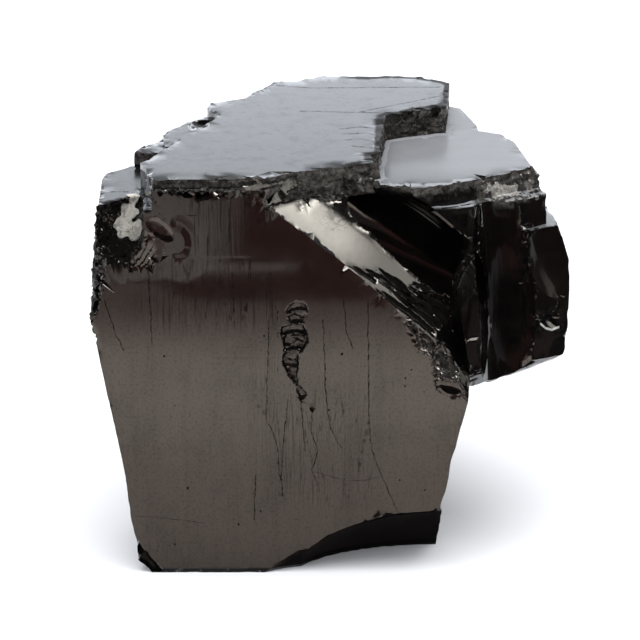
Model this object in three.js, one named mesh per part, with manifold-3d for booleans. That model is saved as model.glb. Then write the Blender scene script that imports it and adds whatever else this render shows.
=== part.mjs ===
// A hand specimen of lustrous black shungite: one natural solid, broken out of a seam.
//
// The piece is a chunky block with a broad, flat, mirror-like cleavage face at the front, a flat
// bed of rock three millimetres thick on top that ends in low steps, a lobe of rock that overhangs
// on the right, and curved shell-like (conchoidal) fracture scars wherever a flake has gone.
//
// Millimetres. X runs to the right along the front face, Y runs back from it and Z is up. The
// shapes below are placed from the front face's foot; the last lines move the solid so that the
// origin is at the middle of the bottom of its bounding box.

import * as THREE from 'three';
import { ConvexGeometry } from 'three/addons/geometries/ConvexGeometry.js';
import { mergeVertices } from 'three/addons/utils/BufferGeometryUtils.js';
import Module from 'manifold-3d';

const wasm = await Module();
wasm.setup();

// ---------------------------------------------------------------- driving dimensions

const HEIGHT = 45.5;            // base to the top bed
const BED_THICKNESS = 3.0;      // the top bed, down to the ledges around it
const LEDGE_Z = HEIGHT - BED_THICKNESS;
const LEAVES = 3;               // thin leaves that the top bed's wall shows
const LEAF_OVERLAP = 0.6;       // how far a leaf runs into the rock below it
const BED_RIM = 0.8;            // the top leaf, which stands back from the front face
const DEPTH = 42.0;             // front face to the furthest point of the back
const FRONT_FACE_TO_MIDDLE = 21.0;
const MIDDLE_X = 1.3;           // middle of the width, from the working zero
const NICK_STEP = 1.3;          // spacing of the nicks along a broken edge
const NICK_DEPTH = 0.35;        // how far a nick bites in
const SCAR_ROUND = 46;          // how finely the shell-like scars are faceted
const SCAR_RINGS = 30;

// The front face's outline, [x, z]: the left side leans in towards the base.
const FRONT_LEFT = [
  [-18.7, 0], [-20.2, 1.5], [-20.4, 3.9], [-20.9, 6.3], [-21.3, 9.9], [-21.9, 14.1], [-22.8, 18.8],
  [-23.6, 22.9], [-24.5, 27.6], [-25.2, 29.7], [-24.9, 32.8], [-24.6, 37.9], [-24.0, 42.5],
];
const FRONT_RIGHT = [
  [18.5, 42.5], [17.4, 30.0], [16.2, 20.3], [15.4, 17.0], [14.5, 13.5], [13.9, 9.9], [13.3, 8.0],
  [13.6, 3.4], [13.1, 0],
];

// The block's outline seen from above, [x, y], below the ledges.
const PLAN = [
  [-25.3, 0], [18.6, 0], [18.6, 9], [17.4, 20], [18.2, 30], [16.4, 37.5], [11.5, 41.0], [4.0, 42.0],
  [-4.0, 40.6], [-8.8, 36.6], [-13.4, 30.6], [-13.7, 26.6], [-15.0, 25.2], [-16.9, 22.0],
  [-18.9, 19.4], [-20.2, 17.2], [-21.4, 14.9], [-23.6, 12.9], [-24.6, 8.0],
];

// The top bed's outline seen from above, [x, y], anticlockwise from its left front corner.
const BED = [
  [-18.1, 1.2], [-13.5, 1.3], [-9.4, 1.6], [-6.0, 1.7], [-2.8, 4.0], [1.6, 5.6], [6.1, 7.6],
  [5.6, 10.3], [6.7, 11.2], [6.9, 17.1], [7.5, 25.1], [14.5, 28.3], [15.1, 37.9], [11.6, 41.0],
  [4.7, 40.6], [0.2, 41.2], [-1.9, 39.5], [-5.4, 38.3], [-7.7, 34.2], [-8.5, 31.8], [-12.6, 30.2],
  [-13.0, 28.0], [-11.9, 24.4], [-13.1, 20.6], [-15.4, 17.4], [-16.8, 12.9], [-18.4, 9.8],
  [-19.6, 7.2],
];

// The low leaves beside the top bed's left edge: how high each one's top is, and its outline.
const LEFT_LEAVES = [
  {
    top: 44.0,
    outline: [[-20.7, 15.8], [-14.0, 15.2], [-13.0, 21.4], [-17.6, 21.2], [-19.0, 19.0],
      [-20.2, 17.1]],
  },
  {
    top: 44.8,
    outline: [[-17.2, 15.4], [-11.0, 16.0], [-11.0, 27.0], [-13.7, 26.4], [-14.8, 25.0],
      [-15.9, 22.9], [-16.8, 21.7], [-17.6, 19.6]],
  },
];

// The front edge of the lower ledge on the right, [x, y]; the rock in front of it has gone.
const RIGHT_LEDGE_EDGE = [
  [5.8, 6.6], [9.0, 6.6], [11.6, 7.9], [14.8, 9.2], [18.1, 11.3], [21.3, 13.5], [23.6, 14.8],
];

// The bright slope's lower edge on the front face, [x, z], in two straight reaches.
const SLOPE_EDGE = [[-5.2, 42.5], [9.8, 30.5], [16.1, 20.6]];
const SLOPE_RADIUS = 20.0;
const SLOPE_BACK = 4.6;         // how far back its crest lies
const SLOPE_RISE = 3.6;         // and how far the crest lies up and to the right
// The grooves down the slope, each from one point to another.
const SLOPE_GROOVES = [
  [[6.3, 1.26, 34.3], [13.0, 1.9, 28.8]],
  [[4.6, 1.05, 35.5], [12.6, 2.3, 29.8]],
  [[6.3, 2.09, 35.0], [13.4, 3.0, 29.4]],
  [[9.8, 2.96, 33.1], [14.0, 3.9, 29.5]],
  [[10.4, 3.34, 33.1], [14.6, 4.7, 30.2]],
];
const GROOVE_DEPTH = 0.3;
const GROOVE_WIDTH = 0.35;

// Bites in the front face: the rim of each, [x, z], and the points of its floor, [x, z, depth].
const FRONT_BITES = [
  {
    rim: [[-3.6, 30.3], [-3.4, 31.3], [-2.5, 31.9], [-1.4, 31.6], [-1.15, 30.5], [-2.4, 30.3]],
    floor: [[-2.8, 30.9, 0.5], [-1.9, 30.9, 0.5]],
  },
  {
    rim: [[-3.3, 30.4], [-1.5, 30.4], [-1.6, 29.1], [-3.2, 29.1]],
    floor: [[-2.4, 29.7, 0.4]],
  },
  {
    rim: [[-4.3, 29.1], [-3.1, 29.4], [-1.7, 29.2], [-1.2, 28.2], [-2.4, 27.8], [-4.0, 27.8]],
    floor: [[-3.4, 28.3, 0.6], [-1.9, 28.3, 0.5]],
  },
  {
    rim: [[-4.1, 28.0], [-1.2, 27.9], [-1.5, 26.6], [-2.8, 26.4], [-3.9, 25.8]],
    floor: [[-3.2, 26.8, 0.7], [-2.1, 27.0, 0.6]],
  },
  {
    rim: [[-3.9, 25.9], [-2.7, 26.5], [-2.3, 26.3], [-2.3, 22.8], [-2.7, 22.4], [-3.5, 23.3],
      [-4.0, 24.4]],
    floor: [[-3.1, 25.3, 0.6], [-2.8, 23.9, 0.4]],
  },
  {
    rim: [[-2.7, 22.5], [-1.9, 22.0], [-1.8, 21.2], [-2.4, 20.6], [-2.6, 21.4]],
    floor: [[-2.2, 21.4, 0.4]],
  },
  {
    rim: [[-1.8, 21.5], [-0.7, 21.6], [-1.5, 20.6]],
    floor: [[-1.2, 21.1, 0.35]],
  },
];

// ---------------------------------------------------------------- helpers

/** A repeatable run of numbers from 0 to 1, so that no two edges share their nicks. */
function numbers(seed) {
  let state = seed;
  return () => {
    state = (state * 16807) % 2147483647;
    return state / 2147483647;
  };
}

/** A closed geometry as a solid that can be cut and joined. */
function solid(geometry) {
  const bare = geometry.clone();
  bare.deleteAttribute('normal');
  bare.deleteAttribute('uv');
  const merged = mergeVertices(bare, 1e-4);
  return new wasm.Manifold(new wasm.Mesh({
    numProp: 3,
    vertProperties: new Float32Array(merged.attributes.position.array),
    triVerts: new Uint32Array(merged.index.array),
  }));
}

const joined = (solids) => solids.reduce((all, one) => all.add(one));
const vector = ([x, y, z]) => new THREE.Vector3(x, y, z);

/** An outline with small nicks: points every step or so, each pushed a little to one side. */
function nicked(outline, seed, step = NICK_STEP, bite = NICK_DEPTH) {
  const next = numbers(seed);
  return outline.flatMap(([x0, y0], i) => {
    const [x1, y1] = outline[(i + 1) % outline.length];
    const length = Math.hypot(x1 - x0, y1 - y0);
    const pieces = Math.max(1, Math.round(length / step));
    return Array.from({ length: pieces }, (_, k) => {
      const along = k === 0 ? 0 : (k + 0.5 * (next() - 0.5)) / pieces;
      const aside = k === 0 ? 0 : bite * (next() - 0.3);
      return [
        x0 + along * (x1 - x0) - (aside * (y1 - y0)) / length,
        y0 + along * (y1 - y0) + (aside * (x1 - x0)) / length,
      ];
    });
  });
}

/** A flat plate with an [x, y] outline, from one height to another. */
function slab(outline, low, high) {
  const shape = new THREE.Shape(outline.map(([x, y]) => new THREE.Vector2(x, y)));
  const plate = new THREE.ExtrudeGeometry(shape, { depth: high - low, bevelEnabled: false });
  return solid(plate.translate(0, 0, low));
}

/** The same with an [x, z] outline, running back from one depth to another. */
function standing(outline, near, far) {
  const shape = new THREE.Shape(outline.map(([x, z]) => new THREE.Vector2(x, z)));
  const plate = new THREE.ExtrudeGeometry(shape, { depth: far - near, bevelEnabled: false });
  return solid(plate.rotateX(Math.PI / 2).translate(0, far, 0));
}

/** A lump with flat faces round the given corners. */
function lump(corners) {
  return solid(new ConvexGeometry(corners.map(vector)));
}

/** An egg-shaped cutter: what it takes away leaves a hollow. */
function egg(centre, radii, turn = [0, 0, 0], round = 32, rings = 20) {
  const shape = new THREE.SphereGeometry(1, round, rings).scale(...radii);
  shape.applyMatrix4(new THREE.Matrix4().makeRotationFromEuler(
    new THREE.Euler(...turn.map(THREE.MathUtils.degToRad))));
  return solid(shape.translate(...centre));
}

/** A shell-like scar: a shallow dish that bites to a depth below a point on a face. */
function shellScar(at, facing, radius, depth) {
  const centre = vector(at).addScaledVector(vector(facing).normalize(), radius - depth);
  return solid(new THREE.SphereGeometry(radius, SCAR_ROUND, SCAR_RINGS).translate(...centre));
}

/** A round-bottomed trough cutter along a line. */
function trough(centre, along, radius, length, round = 110) {
  const drum = new THREE.CylinderGeometry(radius, radius, length, round, 6);
  drum.applyQuaternion(new THREE.Quaternion().setFromUnitVectors(
    new THREE.Vector3(0, 1, 0), vector(along).normalize()));
  return solid(drum.translate(...centre));
}

/** A flat break: everything beyond a plane through a point goes. */
function flatBreak(point, facing, size = 60) {
  const block = new THREE.BoxGeometry(size, size, size).translate(0, 0, size / 2);
  block.applyQuaternion(new THREE.Quaternion().setFromUnitVectors(
    new THREE.Vector3(0, 0, 1), vector(facing).normalize()));
  return solid(block.translate(...point));
}

/** Small angular flakes lost along a line between two points. */
function flakes(from, to, count, size, seed) {
  const next = numbers(seed);
  const spread = () => 2 * next() - 1;
  return Array.from({ length: count }, (_, i) => {
    const middle = vector(from).lerp(vector(to), (i + 0.5 + 0.3 * spread()) / count);
    const reach = size * (0.6 + 0.8 * next());
    const corners = Array.from({ length: 9 }, () => new THREE.Vector3(
      spread(), spread(), spread()).normalize().multiplyScalar(reach).add(middle).toArray());
    return lump(corners);
  });
}

// ---------------------------------------------------------------- the block

/** The main block: the front face's outline run back, kept inside the outline from above. */
function mainBlock() {
  const face = [...FRONT_LEFT, ...FRONT_RIGHT];
  return standing(nicked(face, 11, 2.4, 0.25), 0, DEPTH)
    .intersect(slab(nicked(PLAN, 23, 6.0, 0.5), 0, LEDGE_Z));
}

/** The top bed in leaves: the lower ones are flush with the front face, the top one stands back. */
function topBed() {
  const low = LEDGE_Z - LEAF_OVERLAP;
  const thickness = (HEIGHT - BED_RIM - low) / (LEAVES - 1);
  const flush = BED.map(([x, y]) => (x < -2 && y < 3 ? [x, 0] : [x, y]));
  const leaves = Array.from({ length: LEAVES - 1 }, (_, leaf) => (
    slab(nicked(flush, 5 + 7 * leaf), low + leaf * thickness, low + (leaf + 1) * thickness)
      .trimByPlane([0, 1, 0], 0)));
  return [...leaves, slab(nicked(BED, 19), HEIGHT - BED_RIM - LEAF_OVERLAP, HEIGHT)];
}

/** The low leaves beside the top bed's left edge, each a little lower than the bed. */
function leftLeaves() {
  return LEFT_LEAVES.map(({ top, outline }, i) => (
    slab(nicked(outline, 61 + 7 * i, 2.0, 0.25), LEDGE_Z - LEAF_OVERLAP, top)));
}

/** The lobe on the right, which overhangs the base: a lower lump and a set-back upper one. */
function rightLobe() {
  const lower = lump([
    [16.4, 1.6, 23.2], [16.0, 1.6, 26.0], [15.5, 1.9, 29.0], [15.5, 2.3, 31.6], [16.4, 3.2, 34.9],
    [17.7, 4.4, 37.2], [27.2, 9.6, 22.3], [16.6, 4.2, 20.5], [19.0, 6.3, 20.3], [26.0, 10.5, 21.2],
    [27.6, 10.0, 24.0], [27.9, 11.5, 32.5], [26.6, 12.2, 36.6], [27.6, 16.0, 31.0],
    [27.0, 16.0, 24.5], [25.6, 19.0, 36.6], [22.0, 26.0, 36.0], [22.0, 24.0, 26.0],
    [12.0, 22.0, 22.0], [12.0, 8.0, 23.0], [13.0, 10.0, 37.0], [12.0, 26.0, 37.0],
  ]);
  const upper = lump([
    [10.0, 6.6, LEDGE_Z], [14.8, 9.0, LEDGE_Z], [18.1, 11.0, LEDGE_Z], [23.6, 14.6, LEDGE_Z],
    [22.7, 20.5, LEDGE_Z], [22.0, 24.6, LEDGE_Z], [20.7, 27.4, LEDGE_Z], [18.7, 28.5, LEDGE_Z],
    [16.3, 29.2, LEDGE_Z], [8.0, 24.0, LEDGE_Z], [25.1, 13.0, 41.2], [25.2, 12.6, 35.0],
    [18.6, 6.6, 35.0], [12.4, 8.0, 35.0], [24.6, 18.6, 34.5], [21.8, 25.4, 34.0],
    [14.0, 28.6, 33.0],
  ]);
  return [lower, upper];
}

// ---------------------------------------------------------------- what has broken away

/** One reach of the bright slope: a shallow trough along an edge of the front face. */
function slopeReach([x0, z0], [x1, z1]) {
  const down = new THREE.Vector2(x1 - x0, z1 - z0).normalize();
  const up = new THREE.Vector2(-down.y, down.x);
  const half = Math.hypot(SLOPE_RISE, SLOPE_BACK) / 2;
  const out = Math.sqrt(SLOPE_RADIUS ** 2 - half ** 2) / (2 * half);
  const rise = SLOPE_RISE / 2 + out * SLOPE_BACK;
  const back = SLOPE_BACK / 2 - out * SLOPE_RISE;
  const centre = [(x0 + x1) / 2 + rise * up.x, back, (z0 + z1) / 2 + rise * up.y];
  return trough(centre, [down.x, 0, down.y], SLOPE_RADIUS, 90);
}

/** Long thin grooves down the lower half of the slope. */
function slopeGrooves() {
  const out = vector([0.5, -0.6, 0.63]).normalize();          // off the slope
  const aside = vector([0.37, 0.80, 0.47]).normalize();       // across the grooves
  return SLOPE_GROOVES.map(([from, to]) => {
    const near = (share, off, across) => vector(from).lerp(vector(to), share)
      .addScaledVector(out, off).addScaledVector(aside, across).toArray();
    return lump([0.35, 0.8].flatMap((share) => [
      near(share, GROOVE_DEPTH, GROOVE_WIDTH), near(share, GROOVE_DEPTH, -GROOVE_WIDTH),
      near(share, -GROOVE_DEPTH, 0),
    ]).concat([near(0, 0.05, 0), near(1, 0.05, 0)]));
  });
}

/** The rock in front of the right-hand ledge, and the dark hollow under the ledge's edge. */
function darkHollow() {
  const front = [...RIGHT_LEDGE_EDGE, [32, 19], [32, -2], [5.2, -2]];
  return [
    slab(nicked(front, 41, 1.2, 0.3), LEDGE_Z - 2.4, LEDGE_Z + 1.0),
    egg([9.8, 7.5, 35.6], [10.5, 3.4, 5.2], [0, 38.66, 0], 40, 26),
    egg([6.6, 5.0, 41.0], [3.8, 3.4, 2.6], [0, 20, 0], 24, 14),
  ];
}

/** The long concave flute down the right lobe's front, and the scoops at its right and below. */
function lobeFlutes() {
  return [
    trough([21.3, 4.9, 31.6], [-0.07, 0.2, 0.976], 4.2, 60, 56),
    egg([29.6, 7.6, 36.0], [7.0, 5.4, 9.0], [0, 0, 6], 40, 26),
    egg([26.6, 7.2, 26.3], [2.4, 2.6, 1.4], [0, 25, -30], 20, 14),
    egg([22.8, 16.0, 17.6], [6.0, 7.0, 4.4], [0, -12, 0], 32, 20),
  ];
}

/** The scoops under the front face's right half, which leave a foot behind them. */
function underScoops() {
  return [
    egg([14.5, -2.0, -0.9], [18.0, 10.0, 8.6], [0, 0, 0], 48, 28),
    egg([3.2, -2.0, -1.4], [13.6, 4.6, 6.6], [0, -19, 0], 40, 26),
  ];
}

/** The notch at the upper left corner of the front face, and the bevel below it. */
function leftNotch() {
  return [
    lump([
      [-19.0, -1, 42.8], [-18.9, -1, 38.4], [-20.6, -1, 35.6], [-23.6, -1, 35.2], [-27, -1, 38],
      [-27, -1, 43.5], [-19.3, 5.6, 43.5], [-22.6, 1.5, 43.5], [-23.8, 0.6, 43.5],
      [-19.6, 2.4, 40.0], [-20.4, 2.0, 38.6], [-23.2, 1.6, 38.0],
    ]),
    lump([
      [-28, -1, 44], [-22.4, -1, 41], [-23.0, -1, 36], [-24.0, -1, 31], [-25.2, -1, 27.5],
      [-28, -1, 27], [-28, 5.0, 44], [-28, 4.6, 38], [-28, 3.6, 32], [-28, 1.6, 28],
      [-23.4, 0.4, 36.0], [-24.3, 0.3, 31.6],
    ]),
    ...flakes([-24.6, 0.4, 31.0], [-23.4, 0.6, 41.0], 7, 0.8, 71),
  ];
}

/** Hackly flakes lost along the broken rims. */
function rimFlakes() {
  return [
    ...flakes([-17.4, 0.0, 44.4], [-6.0, 0.2, 44.2], 12, 0.6, 79),
    ...flakes([-5.6, 1.2, 43.4], [5.4, 7.0, 42.6], 9, 1.1, 81),
    egg([10.9, 0.1, 29.2], [1.4, 0.7, 0.9], [0, 30, 0], 18, 12),
    egg([12.3, 0.2, 27.3], [2.0, 1.0, 1.5], [0, 40, 0], 20, 14),
    egg([14.0, 0.5, 25.0], [2.2, 1.3, 1.8], [0, 50, -12], 22, 16),
    ...flakes([13.6, 8.6, 41.8], [24.0, 14.4, 41.4], 8, 0.8, 85),
    ...flakes([-20.4, 0, 0.2], [-20.6, 0, 4.4], 3, 0.9, 87),
    ...flakes([8.0, 25.2, 45.0], [14.4, 28.2, 44.6], 6, 0.9, 91),
    egg([-13.3, 24.2, 45.5], [1.6, 1.8, 1.2], [0, 0, -30], 18, 12),
    egg([14.2, -0.6, 22.2], [1.9, 1.2, 1.3], [0, 20, 0], 18, 12),
  ];
}

/** The chain of little shell-shaped bites down the middle of the front face. */
function frontBites() {
  return FRONT_BITES.map(({ rim, floor }) => lump([
    ...rim.map(([x, z]) => [x, -0.05, z]), ...floor.map(([x, z, depth]) => [x, depth, z]),
  ]));
}

/** Flat oblique breaks that take the block's lower and back corners. */
function flatBreaks() {
  return [
    flatBreak([-14.6, 33.4, 22.0], [-0.66, 0.70, -0.26]),     // back left, full height
    flatBreak([15.6, 39.0, 22.0], [0.60, 0.76, -0.24]),       // back right, full height
    flatBreak([-2.0, 41.0, 11.0], [-0.16, 0.84, -0.52]),      // low on the back
    flatBreak([-20.4, 17.0, 9.0], [-0.86, 0.30, -0.42]),      // low on the left
    flatBreak([13.2, 26.0, 6.5], [0.70, 0.42, -0.58]),        // low on the right
  ];
}

/** Broad shell-like scars: [point on the face, way the face looks, radius, bite]. */
function shellScars() {
  const left = [
    [[-22.9, 12.0, 29.0], [-0.96, 0.28, 0.0], 34, 1.2],
    [[-17.8, 23.0, 19.0], [-0.84, 0.50, -0.2], 26, 2.6],
  ];
  const back = [
    [[-10.6, 34.0, 34.0], [-0.70, 0.70, -0.1], 26, 2.0],
    [[-5.0, 40.6, 27.0], [-0.30, 0.95, 0.0], 30, 2.4],
    [[9.0, 41.6, 31.0], [0.20, 0.97, 0.12], 32, 2.4],
    [[5.0, 40.6, 14.0], [0.0, 0.96, -0.28], 28, 2.2],
  ];
  const right = [
    [[17.0, 35.0, 22.0], [0.90, 0.42, -0.10], 26, 2.2],
    [[15.0, 22.0, 14.0], [0.98, 0.06, -0.16], 12, 1.2],
    [[25.0, 22.0, 30.0], [0.88, 0.46, -0.1], 22, 1.6],
  ];
  return [...left, ...back, ...right].map((scar) => shellScar(...scar));
}

// ---------------------------------------------------------------- the specimen

function specimenSolid() {
  const [high, bend, low] = SLOPE_EDGE;
  const block = mainBlock().subtract(slopeReach(high, bend)).subtract(slopeReach(bend, low));
  const underBed = joined([block, ...rightLobe()]).subtract(joined(darkHollow()));
  return joined([underBed, ...leftLeaves(), ...topBed()]).subtract(joined([
    ...slopeGrooves(), ...lobeFlutes(), ...underScoops(), ...leftNotch(), ...rimFlakes(),
    ...frontBites(), ...flatBreaks(), ...shellScars(),
  ]));
}

/** A solid as a geometry that three.js can draw. */
function geometryOf(made) {
  const mesh = made.getMesh();
  const geometry = new THREE.BufferGeometry();
  geometry.setAttribute('position', new THREE.BufferAttribute(
    new Float32Array(mesh.vertProperties), mesh.numProp));
  geometry.setIndex(new THREE.BufferAttribute(new Uint32Array(mesh.triVerts), 1));
  geometry.computeVertexNormals();
  return geometry;
}

const shungiteBlack = new THREE.MeshStandardMaterial({
  color: 0x2b2a29, roughness: 0.2, metalness: 0.0,
});

const specimen = new THREE.Mesh(geometryOf(specimenSolid()), shungiteBlack);
specimen.name = 'shungite_specimen';
specimen.position.set(-MIDDLE_X, -FRONT_FACE_TO_MIDDLE, 0);

const group = new THREE.Group();
group.add(specimen);

export default group;
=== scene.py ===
import math

import bmesh
import bpy
from mathutils import Matrix, Vector, kdtree, noise


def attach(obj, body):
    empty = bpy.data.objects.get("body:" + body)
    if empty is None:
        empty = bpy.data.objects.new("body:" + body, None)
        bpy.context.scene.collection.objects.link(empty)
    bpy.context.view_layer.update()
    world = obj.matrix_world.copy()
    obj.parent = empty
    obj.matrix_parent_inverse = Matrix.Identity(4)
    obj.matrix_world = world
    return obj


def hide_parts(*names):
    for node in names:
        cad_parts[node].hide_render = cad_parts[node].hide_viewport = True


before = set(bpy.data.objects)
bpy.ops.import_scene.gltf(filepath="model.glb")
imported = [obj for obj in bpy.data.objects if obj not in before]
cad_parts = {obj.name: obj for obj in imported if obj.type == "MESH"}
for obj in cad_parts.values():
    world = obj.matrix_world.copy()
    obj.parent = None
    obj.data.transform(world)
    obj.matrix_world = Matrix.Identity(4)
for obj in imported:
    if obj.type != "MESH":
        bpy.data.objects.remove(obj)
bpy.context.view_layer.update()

# A hand specimen of lustrous black shungite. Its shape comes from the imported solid; here its surface
# gets its hackly rims, shell-like ripples, grooves, chips and mineral crusts, and its finish.
#
# Stone millimetres: X to the right along the front cleavage face, Y back from that face, Z up from
# the ground. The frame's origin lies under the middle of the stone, so the two differ by a shift.

NODE = "shungite_specimen"
MM = 0.001
STONE_ZERO = Vector((1.3, 21.0, 0.0))  # the frame's origin, in stone millimetres

LEDGE_Z = 42.5  # the ledges under the top bed
FRONT_OUT = Vector((0, -1, 0))  # out of the front cleavage face
FEATURE_ANGLE = math.radians(24)  # edges sharper than this are rims
SMOOTH_ANGLE = math.radians(24)  # edges sharper than this are shaded as creases
FLAT_EDGE = math.radians(7)  # the same beside the mirror-flat faces
LEVEL = 0.004  # faces that meet at less than this count as one, radians
RIM_REACH = 3.0  # how far from a rim its wear is worked out, mm
ON_WALL = 0.12  # a point this near a hollow's curve is on its wall, mm
CRUMBLE_REACH = 0.25  # the same for the crumbled edge


# ---- small helpers

def smooth(low, high, value):
    """0 below low, 1 above high, and a smooth step between."""
    t = min(1.0, max(0.0, (value - low) / (high - low)))
    return t * t * (3 - 2 * t)


def within(value, low, high, soft):
    """1 between low and high, fading to 0 over soft on both sides."""
    return smooth(low - soft, low, value) * (1 - smooth(high, high + soft, value))


def follow(table, place):
    """The values beside a place in a table of (place, value, ...), joined by straight lines."""
    if place <= table[0][0]:
        return table[0][1:]
    for (start, *low), (end, *high) in zip(table, table[1:]):
        if place <= end:
            share = (place - start) / (end - start)
            return [a + share * (b - a) for a, b in zip(low, high)]
    return table[-1][1:]


def wave(point, size, seed=0.0):
    """Rolling noise from -1 to 1, with bumps of about the given size."""
    return noise.noise(point / size + Vector((seed, 3.1 * seed, -1.7 * seed)))


def shards(point, size, seed=0.0):
    """Broken ground: each fragment of about the given size lies at its own height and slant."""
    spot = point / size + Vector((seed, -seed, 2 * seed))
    near = noise.voronoi(spot)[1][0]
    turn = noise.cell_vector(near * 9.17 + Vector((0.3, 0.7, 0.1)))
    lift = noise.cell(near * 5.31 + Vector((4.2, 1.9, 8.8)))
    return (Vector(turn) - Vector((0.5, 0.5, 0.5))).dot(spot - near) * 1.6 + 0.5 * (lift - 0.5)


class Egg:
    """An egg-shaped hollow in the stone, which knows where its wall is."""

    def __init__(self, centre, radii, turn=(0, 0, 0)):
        rx, ry, rz = (math.radians(a) for a in turn)
        self.turn = (Matrix.Rotation(rx, 3, "X") @ Matrix.Rotation(ry, 3, "Y")
                     @ Matrix.Rotation(rz, 3, "Z"))
        self.back = self.turn.transposed()
        self.centre = Vector(centre)
        self.radii = Vector(radii)

    def local(self, point):
        flat = self.back @ (point - self.centre)
        return Vector((flat.x / self.radii.x, flat.y / self.radii.y, flat.z / self.radii.z))

    def off(self, point):
        """Roughly how far a point is from the wall, in mm."""
        return abs(self.local(point).length - 1) * min(self.radii)

    def seat(self, point):
        """The point moved on to the true curved wall."""
        unit = self.local(point).normalized()
        return self.centre + self.turn @ Vector(
            (unit.x * self.radii.x, unit.y * self.radii.y, unit.z * self.radii.z))


def dish(at, facing, radius, depth):
    """The shallow round hollow of a shell-like scar."""
    return Egg(Vector(at) + Vector(facing).normalized() * (radius - depth), (radius,) * 3)


class LongHollow:
    """A round-bottomed hollow along a line, which knows where its wall is."""

    def __init__(self, centre, along, radius):
        self.centre, self.along, self.radius = centre, along, radius

    def across(self, point):
        flat = point - self.centre
        return flat - self.along * flat.dot(self.along)

    def off(self, point):
        """How far a point is from the wall, in mm."""
        return abs(self.across(point).length - self.radius)

    def seat(self, point):
        """The point moved on to the true curved wall."""
        across = self.across(point)
        return point - across + across.normalized() * self.radius


def flute(centre, along, radius):
    """A long hollow through a point, along any direction."""
    return LongHollow(Vector(centre), Vector(along).normalized(), radius)


def trough(start, end, radius, back, rise):
    """A long hollow that leaves the front face along a line from start to end, [x, z], and ends
    back mm behind it and rise mm above it."""
    down = Vector((end[0] - start[0], 0, end[1] - start[1])).normalized()
    up = Vector((-down.z, 0, down.x))
    half = math.hypot(rise, back) / 2
    out = math.sqrt(radius ** 2 - half ** 2) / (2 * half)
    middle = Vector(((start[0] + end[0]) / 2, 0, (start[1] + end[1]) / 2))
    centre = middle + up * (rise / 2 + out * back) + Vector((0, back / 2 - out * rise, 0))
    return LongHollow(centre, down, radius)


# ---- where the stone's forms are

SLOPE_TOP, SLOPE_BEND, SLOPE_FOOT = (-5.2, 42.5), (9.8, 30.5), (16.1, 20.6)  # [x, z]
SLOPE = [trough(SLOPE_TOP, SLOPE_BEND, 20.0, 4.6, 3.6),
         trough(SLOPE_BEND, SLOPE_FOOT, 20.0, 4.6, 3.6)]
SLOPE_OUT = Vector((0.745, 0, 0.668))  # roughly out of the slope, where it bends
HOLLOW = [Egg((9.8, 7.5, 35.6), (10.5, 3.4, 5.2), (0, 38.66, 0)),
          Egg((6.6, 5.0, 41.0), (3.8, 3.4, 2.6), (0, 20, 0))]
FLUTES = [flute((21.3, 4.9, 31.6), (-0.07, 0.2, 0.976), 4.2)]
LOBE_BITES = [Egg((29.6, 7.6, 36.0), (7.0, 5.4, 9.0), (0, 0, 6)),
              Egg((26.6, 7.2, 26.3), (2.4, 2.6, 1.4), (0, 25, -30))]
CRUMBLE = [Egg((10.9, 0.1, 29.2), (1.4, 0.7, 0.9), (0, 30, 0)),
           Egg((12.3, 0.2, 27.3), (2.0, 1.0, 1.5), (0, 40, 0)),
           Egg((14.0, 0.5, 25.0), (2.2, 1.3, 1.8), (0, 50, -12))]
OVAL_CHIP = Egg((14.2, -0.6, 22.2), (1.9, 1.2, 1.3), (0, 20, 0))
FOOT = [Egg((14.5, -2.0, -0.9), (18.0, 10.0, 8.6)),
        Egg((3.2, -2.0, -1.4), (13.6, 4.6, 6.6), (0, -19, 0))]
SCARS = [dish((-22.9, 12.0, 29.0), (-0.96, 0.28, 0.0), 34, 1.2),
         dish((-17.8, 23.0, 19.0), (-0.84, 0.5, -0.2), 26, 2.6),
         dish((-10.6, 34.0, 34.0), (-0.7, 0.7, -0.1), 26, 2.0),
         dish((-5.0, 40.6, 27.0), (-0.3, 0.95, 0.0), 30, 2.4),
         dish((9.0, 41.6, 31.0), (0.2, 0.97, 0.12), 32, 2.4),
         dish((5.0, 40.6, 14.0), (0.0, 0.96, -0.28), 28, 2.2),
         dish((17.0, 35.0, 22.0), (0.9, 0.42, -0.1), 26, 2.2),
         dish((15.0, 22.0, 14.0), (0.98, 0.06, -0.16), 12, 1.2),
         dish((25.0, 22.0, 30.0), (0.88, 0.46, -0.1), 22, 1.6)]
# Where each scar's flake was struck off, beyond its edge: its ripples run round this point.
STRUCK = [(-18, 3, 46), (-8, 36, 6), (-2, 44, 46), (-16, 36, 46), (22, 36, 46), (18, 36, 4),
          (17, 20, 42), (14, 6, -2), (22, 34, 44)]
UNDER_LOBE = Egg((22.8, 16.0, 17.6), (6.0, 7.0, 4.4), (0, -12, 0))
CURVED = [*SLOPE, *HOLLOW, *FLUTES, *LOBE_BITES, *CRUMBLE, OVAL_CHIP, *FOOT, *SCARS, UNDER_LOBE]

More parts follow.
